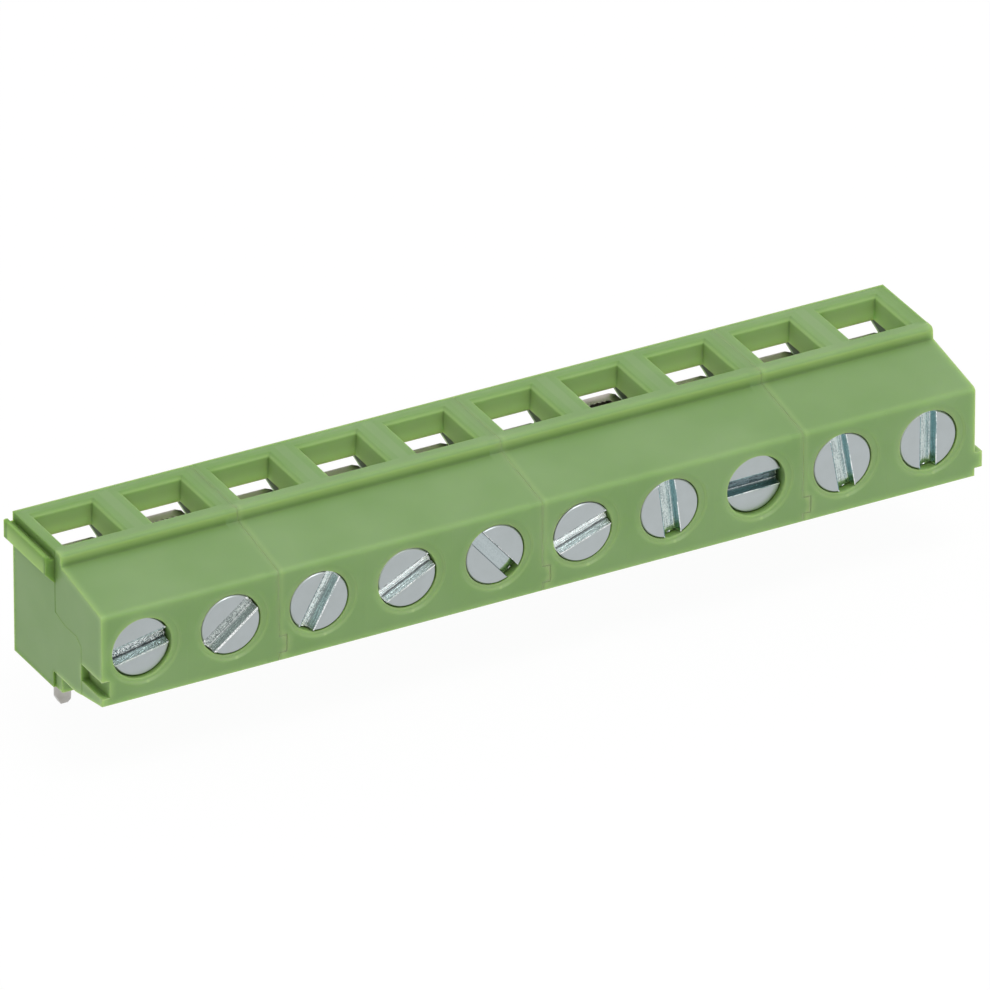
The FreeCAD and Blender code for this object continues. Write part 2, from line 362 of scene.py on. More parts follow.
@dataclass(frozen=True)
class HousingPlan:
    """Sizes of the moulded blocks that their finish follows, from the plan of the part.

    Most pairs say where a change in the finish starts and where it is complete.
    """

    pitch: float = 5.08 * MM
    seam: float = 7.79 * MM
    seam_spacing: float = 15.24 * MM
    seam_reach: float = 0.20 * MM
    seam_facing: Pair = (0.6, 0.9)
    hook_line: float = 0.54 * MM
    rail_root: Pair = (-2.40 * MM, -2.38 * MM)
    end_skin: Pair = (-2.32 * MM, -2.27 * MM)
    front: float = -9.03 * MM
    front_top: float = 6.65 * MM
    slope: float = 0.18
    corner_reach: Pair = (0.30 * MM, 0.45 * MM)
    screw_height: float = 4.26 * MM
    bore_wall: Pair = (1.73 * MM, 1.76 * MM)
    bore_shadow: Pair = (0.45 * MM, 0.90 * MM)
    dish_radius: float = 2.03 * MM
    dish_centre: Pair = (0.05 * MM, 0.09 * MM)
    dish_edge: float = 0.18 * MM
    dish_depth: Pair = (0.10 * MM, 0.12 * MM)
    dish_side: Pair = (0.5, 0.87)
    dish_fade: float = 0.35
    rim_highlight_width: float = 0.144 * MM
    rim_highlight_share: float = 0.50
    gate: Pair = (0.29 * MM, -1.95 * MM)
    gate_radius: float = 0.13 * MM
    gate_share: float = 0.80
    top: float = 8.12 * MM
    step_front: Pair = (-4.78 * MM, -4.58 * MM)
    step_back: Pair = (-4.58 * MM, -4.53 * MM)
    step_rise: Pair = (7.57 * MM, 7.92 * MM)
    funnel_rim: Pair = (-4.10 * MM, -3.90 * MM)
    funnel_offset: float = 0.05 * MM
    funnel_front: Pair = (-3.80 * MM, -3.70 * MM)
    funnel_back: Pair = (0.25 * MM, 0.35 * MM)
    funnel_floor: Pair = (6.60 * MM, 6.70 * MM)
    funnel_mouth: Pair = (7.98 * MM, 8.10 * MM)
    chamber_side: Pair = (2.20 * MM, 2.30 * MM)
    chamber_floor: Pair = (1.0 * MM, 1.2 * MM)

    def in_seam(self, sheet: NodeSheet) -> Channel:
        """Return 1 on the walls that face each other across the seams."""
        normal = sheet.node("ShaderNodeNewGeometry").outputs["Normal"]
        sideways = sheet.channel(sheet.node("ShaderNodeSeparateXYZ", {}, {0: normal}), "X")
        return self.near_seam(sheet) * sideways.size().between(*self.seam_facing)

    def rail(self, sheet: NodeSheet) -> Channel:
        """Return 1 on the hook rail at the left end."""
        return 1.0 - sheet.axis("X").between(*self.rail_root)

    def near_seam(self, sheet: NodeSheet) -> Channel:
        """Return 1 at the seams between blocks and 0 away from them."""
        offset = (sheet.axis("X") - self.seam + self.hook_line / 2).wrapped(self.seam_spacing / 2)
        reach = self.hook_line / 2 + self.seam_reach
        return 1.0 - offset.size().between(reach - self.seam_reach / 2, reach)

    def inside(self, sheet: NodeSheet) -> Channel:
        """Return 1 on the walls of the funnels and of the chambers under them."""
        across = (sheet.axis("X") - self.funnel_offset).wrapped(self.pitch / 2).size()
        y = sheet.axis("Y")
        span = y.between(*self.funnel_front) * (1.0 - y.between(*self.funnel_back))
        return span * (1.0 - across.between(*self.chamber_side))

    def funnel(self, sheet: NodeSheet, light: "FunnelLight") -> Channel:
        """Return how much light comes through the walls of the funnels.

        Args:
            sheet: The housing's sheet.
            light: How strong it is in each part of a funnel.
        """
        z = sheet.axis("Z")
        deep = 1.0 - z.between(self.funnel_floor[1], self.top)
        near_back = sheet.axis("Y").between(*light.back_reach)
        near_mouth = z.between(*light.mouth_reach)
        below_mouth = 1.0 - z.between(*self.funnel_mouth)
        above_floor = z.between(*self.funnel_floor)
        low = deep * deep * (light.floor + light.back * near_back)
        return below_mouth * above_floor * (light.walls + light.mouth * near_mouth + low)

    def ridge(self, sheet: NodeSheet) -> Channel:
        """Return 1 along the top of the step between the slope and the top, and 0 at its foot, for its
        painted highlight.
        """
        y = sheet.axis("Y")
        face = (1.0 - y.between(*self.step_back)) * y.between(*self.step_front)
        return face * sheet.axis("Z").between(*self.step_rise)

    def chamber(self, sheet: NodeSheet) -> Channel:
        """Return 1 below the funnels, round the cages."""
        z = sheet.axis("Z")
        return (1.0 - z.between(*self.funnel_floor)) * z.between(*self.chamber_floor)

    def end_panel(self, sheet: NodeSheet) -> Channel:
        """Return 1 on the left end's face, away from its outer corners."""
        x, y, z = (sheet.axis(letter) for letter in "XYZ")
        on_end = 1.0 - x.between(*self.end_skin)
        behind = (y - self.front).between(*self.corner_reach)
        drop = self.front_top + (y - self.front) * self.slope - z
        return on_end * behind * drop.between(*self.corner_reach)

    def behind_step(self, sheet: NodeSheet) -> Channel:
        """Return 1 round the funnels and 0 from the step to the front."""
        return sheet.axis("Y").between(*self.funnel_rim)

    def from_screw(self, sheet: NodeSheet) -> Tuple[Channel, Channel]:
        """Return the place across and up from the nearest screw's axis."""
        return sheet.axis("X").wrapped(self.pitch / 2), sheet.axis("Z") - self.screw_height

    def bore_shade(self, sheet: NodeSheet) -> Channel:
        """Return a number that rises to 1 inward along the walls round the screw heads, where shadow is
        painted.
        """
        near = 1.0 - distance(*self.from_screw(sheet)).between(*self.bore_wall)
        return near * (sheet.axis("Y") - self.front).between(*self.bore_shadow)

    def dish_rim(self, sheet: NodeSheet) -> Tuple[Channel, Channel]:
        """Find the lower right rim of the dish round each screw, where its highlight is painted.

        Args:
            sheet: The housing's sheet.

        Returns:
            Its step up, and its painted highlight line with the gate mark.
        """
        across, up = self.from_screw(sheet)
        right = across - self.dish_centre[0]
        above = up - self.dish_centre[1]
        radius = distance(right, above)
        sideways = (right * self.dish_side[0] - above * self.dish_side[1]) / radius
        lower_right = sideways.between(-self.dish_fade, self.dish_fade)
        on_front = 1.0 - (sheet.axis("Y") - self.front).between(*self.dish_depth)
        shown = lower_right * on_front
        half = self.dish_edge / 2
        step = radius.between(self.dish_radius - half, self.dish_radius + half)
        rim_highlight = 1.0 - (radius - self.dish_radius).size().between(0.0, self.rim_highlight_width)
        mark = 1.0 - distance(across - self.gate[0], up - self.gate[1]).between(0.0, self.gate_radius)
        return step * shown, (self.rim_highlight_share * rim_highlight + self.gate_share * mark) * shown


@dataclass(frozen=True)
class FunnelLight:
    """How much light comes through the funnels' walls."""

    walls: float = 0.26
    mouth: float = 0.06
    floor: float = 0.45
    back: float = 0.32
    mouth_reach: Pair = (7.52 * MM, 8.07 * MM)
    back_reach: Pair = (-0.9 * MM, 0.0)


@dataclass(frozen=True)
class MouldedPolyamide:
    """Green satin polyamide: translucent, with painted highlights on its edges and painted shade in its
    hollows and bores.
    """

    body: Colour = (0.180, 0.305, 0.104)
    pale: Colour = (0.206, 0.330, 0.128)
    # edge: painted highlight colour for outer edges and the dish rims.
    edge: Colour = (0.300, 0.440, 0.165)
    # deep: painted shade colour for hollows and the funnel rims; it also darkens the hook rail.
    deep: Colour = (0.118, 0.228, 0.036)
    lit: Colour = (0.560, 0.800, 0.300)
    # glow: painted highlight colour for the top of the ridge.
    glow: Colour = (0.520, 0.680, 0.200)
    # Painted shadow colour for the walls round the screw heads.
    bore_shade: Colour = (0.020, 0.045, 0.015)
    shade: Colour = (0.060, 0.100, 0.036)
    ridge_highlight_share: float = 0.40
    bore_shade_share: float = 0.90
    seam_share: float = 0.45
    rail_share: float = 0.35
    edge_share: float = 0.85
    mouth_shade_share: float = 0.50
    seam_softness: float = 0.60
    panel_sharpness: float = 0.85
    cloud: Pair = (0.35, 0.65)
    hollow_shade: Pair = (0.08, 0.55)
    outer: Pair = (0.05, 0.62)
    gloss: float = 0.42
    dull: float = 0.75
    skin_gloss: float = 0.08
    edge_width: float = 0.45 * MM
    hollow_reach: float = 0.80 * MM
    corner: float = 0.17 * MM
    cloud_size: float = 5.0 * MM
    skin_size: float = 0.16 * MM
    skin_depth: float = 0.0012 * MM
    rim_height: float = 0.120 * MM
    specular: float = 0.35
    translucency: float = 0.75
    scatter: Colour = (0.80, 1.0, 0.40)
    scatter_depth: float = 0.90 * MM

    def make(self) -> bpy.types.Material:
        """Return the finished material."""
        material, sheet = new_material("green moulded polyamide")
        plan = HousingPlan()
        cloud = sheet.grain(self.cloud_size, detail=2.0).between(*self.cloud)
        skin = sheet.grain(self.skin_size, detail=4.0, rough=0.6)
        seam = plan.near_seam(sheet)
        tone = sheet.blend(cloud, self.body, self.pale)
        # Painted shade: corners and hollows are blended towards the deep green.
        hollow_shade = sheet.cavities(self.hollow_reach).between(*self.hollow_shade) * (1.0 - seam)
        tone = sheet.blend(hollow_shade, tone, self.deep)
        inside = plan.inside(sheet)
        tone = sheet.blend(inside * plan.funnel(sheet, FunnelLight()), tone, self.lit)
        # Painted highlight along the top of the ridge.
        tone = sheet.blend(self.ridge_highlight_share * plan.ridge(sheet), tone, self.glow)
        # Painted shadow on the walls round the screw heads.
        tone = sheet.blend(self.bore_shade_share * plan.bore_shade(sheet), tone, self.bore_shade)
        tone = sheet.blend(self.seam_share * plan.in_seam(sheet), tone, self.lit)
        tone = sheet.blend(self.rail_share * plan.rail(sheet), tone, self.deep)
        tone = sheet.blend(inside * plan.chamber(sheet), tone, self.shade)
        edge = sheet.edges(self.edge_width).between(*self.outer) * (1.0 - self.seam_softness * seam)
        behind = plan.behind_step(sheet)
        # Painted highlight on outer edges in front of the funnels, standing in for light through the thin
        # plastic.
        tone = sheet.blend(self.edge_share * edge * (1.0 - behind), tone, self.edge)
        # Painted shade on the edges round the funnels.
        tone = sheet.blend(self.mouth_shade_share * edge * behind, tone, self.deep)
        step, rim_highlight = plan.dish_rim(sheet)
        # Painted highlight on the lower right rim of each dish, with the gate mark.
        tone = sheet.blend(rim_highlight, tone, self.edge)
        matt = hollow_shade.maths("MAXIMUM", hollow_shade, inside)
        matt = matt.maths("MAXIMUM", matt, edge * behind)
        corner = self.corner * (1.0 - seam) * (1.0 - self.panel_sharpness * plan.end_panel(sheet))
        normal = sheet.bump(skin, self.skin_depth, sheet.rounded(corner))
        normal = sheet.bump(step, self.rim_height, normal)
        shine = self.gloss + self.skin_gloss * (skin - 0.5) + (self.dull - self.gloss) * matt
        close_material(sheet, {
            "Base Color": tone,
            "Roughness": shine,
            "Normal": normal,
            "Subsurface Weight": self.translucency,
            "Subsurface Radius": self.scatter,
            "Subsurface Scale": self.scatter_depth,
            "Specular IOR Level": self.specular,
        })
        return material


@dataclass(frozen=True)
class ZincPlate:
    """Bluish bright zinc on a turned steel screw, with faint clouds and scratches."""

    bright: Colour = (0.455, 0.495, 0.505)
    dull: Colour = (0.420, 0.458, 0.462)
    scratch: Colour = (0.30, 0.32, 0.33)
    scratch_share: float = 0.6
    scratch_level: Pair = (0.70, 0.76)
    cloud: Pair = (0.3, 0.7)
    gloss: float = 0.30
    cloud_gloss: float = 0.10
    mark_gloss: float = 0.05
    cloud_size: float = 0.9 * MM
    mark_size: float = 0.12 * MM
    mark_depth: float = 0.003 * MM
    corner: float = 0.03 * MM

    def make(self) -> bpy.types.Material:
        """Return the finished material."""
        material, sheet = new_material("bright zinc plate")
        cloud = sheet.grain(self.cloud_size, 3.0).between(*self.cloud)
        marks = sheet.grain(self.mark_size, detail=4.0, rough=0.7, stretch=(1.0, 1.0, 6.0))
        drawn = sheet.grain(self.cloud_size / 2, detail=5.0, rough=0.75, stretch=(3.0, 1.0, 1.0))
        rare = drawn.between(*self.scratch_level)
        tone = sheet.blend(cloud, self.dull, self.bright)
        tone = sheet.blend(rare * self.scratch_share, tone, self.scratch)
        normal = sheet.bump(marks, self.mark_depth, sheet.rounded(self.corner))
        close_material(sheet, {
            "Base Color": tone,
            "Metallic": 1.0,
            "Roughness": self.gloss + self.cloud_gloss * cloud + self.mark_gloss * marks,
            "Normal": normal,
        })
        return material


@dataclass(frozen=True)
class WearAndSheen:
    """What the cutter and screwdrivers left of a slot: lengths in metres, and colours that also carry
    painted glints, reflections and shade.
    """

    width: float
    slant: float
    burr: float
    lip: float
    ragged: float
    streaks: float
    chips: float
    gloss: float
    speckle: float
    # Colours of the floor, its dark specks, the walls and the walls' foot: besides the zinc's tone they
    # carry painted reflections, glints and shade.
    floor: Colour
    pits_and_shade: Colour
    wall: Colour
    corner: Colour


# Painted shade and painted highlight colours for lines and glints in the slots.
PAINTED_SHADE: Colour = (0.035, 0.050, 0.055)
PAINTED_HIGHLIGHT: Colour = (0.98, 0.99, 0.99)


class SlotWearAndSheen(Enum):
    """How a screwdriver slot was left, with glints, reflections and shade painted into its colours."""

    CLEAN = WearAndSheen(
        width=0.82 * MM, slant=0.0, burr=0.006 * MM, lip=0.02 * MM, ragged=0.002 * MM,
        streaks=0.002 * MM, chips=0.001 * MM, gloss=0.08, speckle=0.5,
        floor=(0.44, 0.50, 0.51), pits_and_shade=(0.40, 0.46, 0.47), wall=(0.20, 0.26, 0.27), corner=PAINTED_SHADE,
    )
    FINE = WearAndSheen(
        width=0.92 * MM, slant=0.10 * MM, burr=0.014 * MM, lip=0.04 * MM, ragged=0.010 * MM,
        streaks=0.016 * MM, chips=0.006 * MM, gloss=0.10, speckle=0.5,
        floor=(0.56, 0.64, 0.62), pits_and_shade=(0.34, 0.40, 0.40), wall=(0.40, 0.62, 0.65), corner=PAINTED_HIGHLIGHT,
    )
    TORN = WearAndSheen(
        width=0.86 * MM, slant=0.10 * MM, burr=0.040 * MM, lip=0.10 * MM, ragged=0.035 * MM,
        streaks=0.020 * MM, chips=0.055 * MM, gloss=0.18, speckle=0.9,
        floor=(1.00, 1.00, 1.00), pits_and_shade=(0.12, 0.17, 0.18), wall=(0.84, 1.00, 1.00), corner=PAINTED_SHADE,
    )
    BRUISED = WearAndSheen(
        width=0.86 * MM, slant=0.10 * MM, burr=0.045 * MM, lip=0.14 * MM, ragged=0.020 * MM,
        streaks=0.030 * MM, chips=0.020 * MM, gloss=0.18, speckle=0.7,
        floor=(0.66, 0.70, 0.68), pits_and_shade=(0.22, 0.25, 0.25), wall=(0.68, 0.76, 0.74), corner=PAINTED_HIGHLIGHT,
    )
    SOFT = WearAndSheen(
        width=0.84 * MM, slant=0.10 * MM, burr=0.025 * MM, lip=0.08 * MM, ragged=0.012 * MM,
        streaks=0.020 * MM, chips=0.018 * MM, gloss=0.16, speckle=0.5,
        floor=(0.96, 1.00, 0.98), pits_and_shade=(0.40, 0.44, 0.43), wall=(0.62, 0.75, 0.75),
        corner=(0.44, 0.48, 0.48),
    )
    STREAKED = WearAndSheen(
        width=0.84 * MM, slant=0.08 * MM, burr=0.045 * MM, lip=0.07 * MM, ragged=0.020 * MM,
        streaks=0.050 * MM, chips=0.020 * MM, gloss=0.18, speckle=0.5,
        floor=(1.00, 1.00, 1.00), pits_and_shade=(0.80, 0.87, 0.87), wall=(0.84, 0.94, 0.94), corner=PAINTED_SHADE,
    )
    DULLED = WearAndSheen(
        width=0.84 * MM, slant=0.10 * MM, burr=0.020 * MM, lip=0.05 * MM, ragged=0.014 * MM,
        streaks=0.020 * MM, chips=0.020 * MM, gloss=0.12, speckle=0.4,
        floor=(0.20, 0.25, 0.27), pits_and_shade=(0.04, 0.06, 0.07), wall=(0.38, 0.58, 0.58), corner=PAINTED_HIGHLIGHT,
    )

    @property
    def finish(self) -> "SawnZinc":
        """The zinc, with its painted glints and shade, that goes with this wear and sheen."""
        return SawnZinc(f"sawn zinc {self.name.lower()}", self.value)


@dataclass(frozen=True)
class SawnZinc:
    """Zinc over the cut walls and floor of a screwdriver slot, streaked along the cut, with painted
    glints, reflections and shade.
    """

    name: str
    wear_and_sheen: WearAndSheen
    floor_depth: Pair = (0.41 * MM, 0.45 * MM)
    corner_depth: Pair = (0.35 * MM, 0.45 * MM)
    corner_width: Pair = (0.05 * MM, 0.02 * MM)
    middle: Pair = (-0.01 * MM, 0.01 * MM)
    corner_shares: Pair = (0.75, 0.45)
    edge_depth: Pair = (0.01 * MM, 0.05 * MM)
    rim: Pair = (1.551 * MM, 1.584 * MM)
    ragged: float = 0.10 * MM
    mottle: Pair = (0.45, 0.53)
    wall_mottle: Pair = (0.42, 0.56)
    rim_chips: Pair = (0.46, 0.50)
    edge_chips: Pair = (0.46, 0.52)
    edge_share: float = 0.7
    wall_shade: float = 0.55
    chip_gloss: float = 0.12
    streak_size: float = 0.09 * MM
    streak_length: float = 1.20 * MM
    chip_size: float = 0.08 * MM

    def streaks(self, sheet: NodeSheet) -> Channel:
        """Return noise drawn out along the slot."""
        place = sheet.node("ShaderNodeAttribute", {"attribute_name": SLOT_PLACE}).outputs["Vector"]
        squash = (1.0 / self.streak_length, 1.0 / self.streak_size, 1.0 / self.streak_size)
        drawn = sheet.node("ShaderNodeVectorMath", {"operation": "MULTIPLY"}, {0: place, 1: squash})
        inputs = {"Vector": drawn.outputs[0], "Scale": 1.0, "Detail": 3.0, "Roughness": 0.6}
        return sheet.channel(sheet.node("ShaderNodeTexNoise", {}, inputs))

    def make(self) -> bpy.types.Material:
        """Return the finished material."""
        material, sheet = new_material(self.name)
        wear_and_sheen = self.wear_and_sheen
        place = sheet.node("ShaderNodeAttribute", {"attribute_name": SLOT_PLACE}).outputs["Vector"]
        split = sheet.node("ShaderNodeSeparateXYZ", {}, {0: place})
        along, across, depth = (sheet.channel(split, letter) for letter in "XYZ")
        far_side = across.between(*self.middle)
        streaks = self.streaks(sheet)
        chips = sheet.grain(self.chip_size, detail=4.0, rough=0.7)
        foot = wear_and_sheen.width / 2 - wear_and_sheen.slant
        grain = wear_and_sheen.speckle * chips + (1.0 - wear_and_sheen.speckle) * streaks
        mottle = grain.between(*self.mottle)
        on_floor = depth.between(*self.floor_depth)
        ragged = self.ragged * (chips - 0.5)
        low, high = (foot - width for width in self.corner_width)
        beside = (across.size() + ragged).between(low, high)
        corner = beside * depth.between(*self.corner_depth)
        top_edge = 1.0 - (depth + ragged).between(*self.edge_depth)
        rim_glint = distance(along, across).between(*self.rim) * chips.between(*self.rim_chips)
        # Zinc mottle on the floor whose strong contrast is partly painted glints and painted shade.
        tone = sheet.blend(mottle, wear_and_sheen.pits_and_shade, wear_and_sheen.floor)
        shade = tuple(self.wall_shade * value for value in wear_and_sheen.wall)
        # Wall colour: painted reflection on the light walls and painted shade on the dark ones, mottled
        # with a darker share.
        wall = sheet.blend(grain.between(*self.wall_mottle), shade, wear_and_sheen.wall)
        tone = sheet.blend(on_floor, wall, tone)
        # Painted line along the foot of each wall: painted shade for some wears, a painted highlight for
        # others.
        corner_share = self.corner_shares[0] - self.corner_shares[1] * far_side
        tone = sheet.blend(corner * corner_share, tone, wear_and_sheen.corner)
        # Painted highlight along the near burr's top edge.
        tone = sheet.blend(top_edge * mottle * (1.0 - far_side), tone, PAINTED_HIGHLIGHT)
        # Painted shade in nicks along the far burr's top edge.
        far_burr_shade = top_edge * chips.between(*self.edge_chips) * far_side
        tone = sheet.blend(far_burr_shade * self.edge_share, tone, PAINTED_SHADE)
        # Painted glint where the slot runs out at the rim.
        tone = sheet.blend(rim_glint, tone, PAINTED_HIGHLIGHT)
        flat = sheet.node("ShaderNodeNewGeometry").outputs["Normal"]
        normal = sheet.bump(streaks, wear_and_sheen.streaks, flat)
        normal = sheet.bump(chips, wear_and_sheen.chips, normal)
        close_material(sheet, {
            "Base Color": tone,
            "Metallic": 1.0,
            "Roughness": wear_and_sheen.gloss + self.chip_gloss * chips,
            "Normal": normal,
        })
        return material


@dataclass(frozen=True)
class PlatedSteel:
    """Nickel or tin over a stamped part, with rounded edges and a painted highlight along them."""

    name: str
    bright: Colour
    dull: Colour
    gloss: float = 0.32
    mark_gloss: float = 0.12
    edge_share: float = 0.4
    cloud: Pair = (0.3, 0.7)
    outer: Pair = (0.1, 0.6)
    cloud_size: float = 1.2 * MM
    mark_size: float = 0.15 * MM
    mark_depth: float = 0.004 * MM
    corner: float = 0.06 * MM

    def make(self) -> bpy.types.Material:
        """Return the finished material."""
        material, sheet = new_material(self.name)
        cloud = sheet.grain(self.cloud_size, 3.0).between(*self.cloud)
        marks = sheet.grain(self.mark_size, detail=4.0, rough=0.65)
        edge = sheet.edges(self.corner * 2).between(*self.outer)
        tone = sheet.blend(cloud, self.dull, self.bright)
        # Painted highlight along the edges.
        tone = sheet.blend(edge * self.edge_share, tone, self.bright)
        normal = sheet.bump(marks, self.mark_depth, sheet.rounded(self.corner))
        close_material(sheet, {
            "Base Color": tone,
            "Metallic": 1.0,
            "Roughness": self.gloss + self.mark_gloss * marks,
            "Normal": normal,
        })
        return material


class Plating(Enum):
    """The platings of the stamped parts."""

    NICKEL = PlatedSteel("nickel plate", bright=(0.56, 0.51, 0.47), dull=(0.42, 0.38, 0.35), gloss=0.24)
    TIN = PlatedSteel("tin plate", bright=(0.66, 0.63, 0.59), dull=(0.52, 0.49, 0.45))
    SOLDER = PlatedSteel(
        "solder-dipped tin", bright=(0.50, 0.49, 0.46), dull=(0.36, 0.35, 0.32), gloss=0.24
    )


class MeshDraft:
    """Points and faces of a mesh in the making."""

    def __init__(self) -> None:
        """Start empty."""
        self.points: List[Vector] = []
        self.slot_places: List[Vector] = []
        self.faces: List[Tuple[int, ...]] = []
        self.kinds: List[int] = []

    def row(self, points: Sequence[Spot]) -> List[int]:
        """Add points.

        Args:
            points: Each one's place on the part and in its slot.

        Returns:
            Their numbers.
        """
        start = len(self.points)
        self.points.extend(place for place, _ in points)
        self.slot_places.extend(slot_place for _, slot_place in points)
        return list(range(start, start + len(points)))

    def strip(
        self, first: Sequence[int], second: Sequence[int], kind: int, closed: bool = False
    ) -> None:
        """Join two rows of equal length by a strip of faces.

        Args:
            first: Numbers of the first row.
            second: Numbers of the second row.
            kind: The number of the finish.
            closed: Whether the strip runs round to its start.
        """
        count = len(first)
        for i in range(count if closed else count - 1):
            j = (i + 1) % count
            self.faces.append((first[i], first[j], second[j], second[i]))
            self.kinds.append(kind)

    def build(
        self, name: str, finishes: Sequence[bpy.types.Material], flat: Sequence[int], crease_deg: float
    ) -> bpy.types.Object:
        """Make the object, with points that coincide joined.

        Args:
            name: The object's name.
            finishes: Its materials by number.
            flat: The finishes whose faces stay flat.
            crease_deg: The angle above which an edge is sharp.

        Returns:
            The object, linked to the scene.
        """
        kept: Dict[Tuple[int, int, int], int] = {}
        numbers: List[int] = []
        places: List[Vector] = []
        slot_places: List[float] = []
        for point, slot_place in zip(self.points, self.slot_places):
            key = tuple(round(value * STEPS_PER_METRE) for value in point)
            if key not in kept:
                kept[key] = len(places)
                places.append(point)
                slot_places.extend(slot_place)
            numbers.append(kept[key])
        faces: List[List[int]] = []
        kinds: List[int] = []
        for face, kind in zip(self.faces, self.kinds):
            ring = [numbers[i] for i in face]
            ring = [n for i, n in enumerate(ring) if n != ring[i - 1]]
            if len(set(ring)) == len(ring) and len(ring) > 2:
                faces.append(ring)
                kinds.append(kind)
        mesh = bpy.data.meshes.new(name)
        mesh.from_pydata(places, [], faces)
        for material in finishes:
            mesh.materials.append(material)
        for polygon, kind in zip(mesh.polygons, kinds):
            polygon.material_index = kind
            polygon.use_smooth = kind not in flat
        mesh.set_sharp_from_angle(angle=math.radians(crease_deg))
        mesh.attributes.new(SLOT_PLACE, "FLOAT_VECTOR", "POINT").data.foreach_set("vector", slot_places)
        made = bpy.data.objects.new(name, mesh)
        bpy.context.scene.collection.objects.link(made)
        return made


@dataclass
class ClampScrew:
    """Slotted cheese-head screw: burred slot, rolled thread and chamfered tip."""

    number: int
    slot_deg: float
    wear_and_sheen: SlotWearAndSheen
    slot_depth: float = 0.50 * MM
    head_length: float = 0.95 * MM
    rim: float = 0.055 * MM
    least_burr: float = 0.05
    mean_burr: float = 0.45
    slow_burr: float = 0.8
    quick_burr: float = 0.7
    far_burr: float = 0.15
    slow_wave: float = 0.60 * MM
    quick_wave: float = 0.11 * MM
    lean_wave: float = 0.20 * MM
    floor_wave: float = 0.25 * MM
    slow_row: float = 0.5
    quick_row: float = 4.5
    lean_row: float = 9.5
    floor_row: float = 20.0
    floor_row_reach: float = 2.0
    mean_lean: float = 0.5
    lean_change: float = 0.6
    lip_top: Pair = (0.4, 0.8)
    burr_root: Pair = (0.7, 0.6)
    wall_bend: Pair = (0.3, 0.35)
    wall_foot: float = 0.92
    floor_reach: float = 0.96
    row_step: float = 3.7
    screw_step: float = 11.3
    thread_pitch: float = 0.45 * MM
    thread_flank: Pair = (1.6, 3.6)
    crest: float = 1.13 * MM
    root: float = 0.97 * MM
    tip: float = 0.25 * MM
    columns: int = 64
    floor_rows: int = 7
    face_rows: int = 5
    wall_rows: int = 4
    turn_steps: int = 40
    pitch_steps: int = 6
    crease_deg: float = 32.0

    def __post_init__(self) -> None:
        """Read the screw's place from its node."""
        low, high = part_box(self.node)
        self.centre = Vector(((low.x + high.x) / 2, low.y, (low.z + high.z) / 2))
        self.radius = (high.x - low.x) / 2
        self.length = high.y - low.y
        self.slot_width = self.wear_and_sheen.value.width
        angle = math.radians(self.slot_deg)
        self.along = Vector((math.cos(angle), 0.0, math.sin(angle)))
        self.across = Vector((-math.sin(angle), 0.0, math.cos(angle)))
        self.inward = Vector((0.0, 1.0, 0.0))

    @property
    def node(self) -> str:
        """Name of the screw's node and body."""
        return f"screw_{self.number}"

    def at(self, u: float, v: float, w: float) -> Spot:
        """Return the point u along the slot, v across it and w inward from the face."""
        place = self.centre + self.along * u + self.across * v + self.inward * w
        return place, Vector((u, v, w))

    def chance(self, u: float, row: float, size: float) -> float:
        """Return noise from -1 to 1 that changes over a length in metres along the slot."""
        return noise.noise(Vector((u / size, row * self.row_step, self.number * self.screw_step)))

    def burr(self, u: float, side: int) -> float:
        """Return the burr's height at a place along one edge of the slot."""
        slow = self.chance(u, side + self.slow_row, self.slow_wave)
        quick = self.chance(u, side + self.quick_row, self.quick_wave)
        share = self.far_burr if side > 0 else 1.0
        height = self.mean_burr + self.slow_burr * slow + self.quick_burr * quick
        return self.wear_and_sheen.value.burr * share * max(self.least_burr, height)

    def column(self, angle: float) -> List[Spot]:
        """Return the section across the head at one place along the slot.

        Args:
            angle: The angle of the column's ends round the rim, from the slot's direction.
        """
        half = self.slot_width / 2
        foot = half - self.wear_and_sheen.value.slant
        lip = self.wear_and_sheen.value.lip
        u = self.radius * math.cos(angle)
        reach = self.radius * math.sin(angle)
        inner = 1.0 - self.rim / self.radius
        sides = []
        for side in (-1, 1):
            height = self.burr(u, side)
            change = self.chance(u, side + self.lean_row, self.lean_wave)
            lean = height * (self.mean_lean + self.lean_change * change)
            start = max(half, min(reach * inner, half + lip))
            points = [self.at(u, side * reach, self.rim)]
            for k in range(self.face_rows):
                share = k / (self.face_rows - 1)
                near = Vector((u * inner, reach * inner)) * (1 - share) + Vector((u, start)) * share
                points.append(self.at(near.x, side * max(half, near.y), 0.0))
            top = min(start, half + lip * self.lip_top[0])
            points.append(self.at(u, side * top, -height * self.lip_top[1]))
            points.append(self.at(u, side * (half - lean), -height))
            root = half - lean * self.burr_root[0]
            points.append(self.at(u, side * root, height * self.burr_root[1]))
            bend = half + (foot - half) * self.wall_bend[0]
            points.append(self.at(u, side * bend, self.slot_depth * self.wall_bend[1]))
            points.append(self.at(u, side * foot, self.slot_depth * self.wall_foot))
            sides.append(points)
        floor = []
        for k in range(self.floor_rows):
            share = -1 + 2 * k / (self.floor_rows - 1)
            row = self.floor_row + share * self.floor_row_reach
            wave = self.wear_and_sheen.value.ragged * self.chance(u, row, self.floor_wave)
            floor.append(self.at(u, share * foot * self.floor_reach, self.slot_depth + wave))
        return sides[0] + floor + sides[1][::-1]

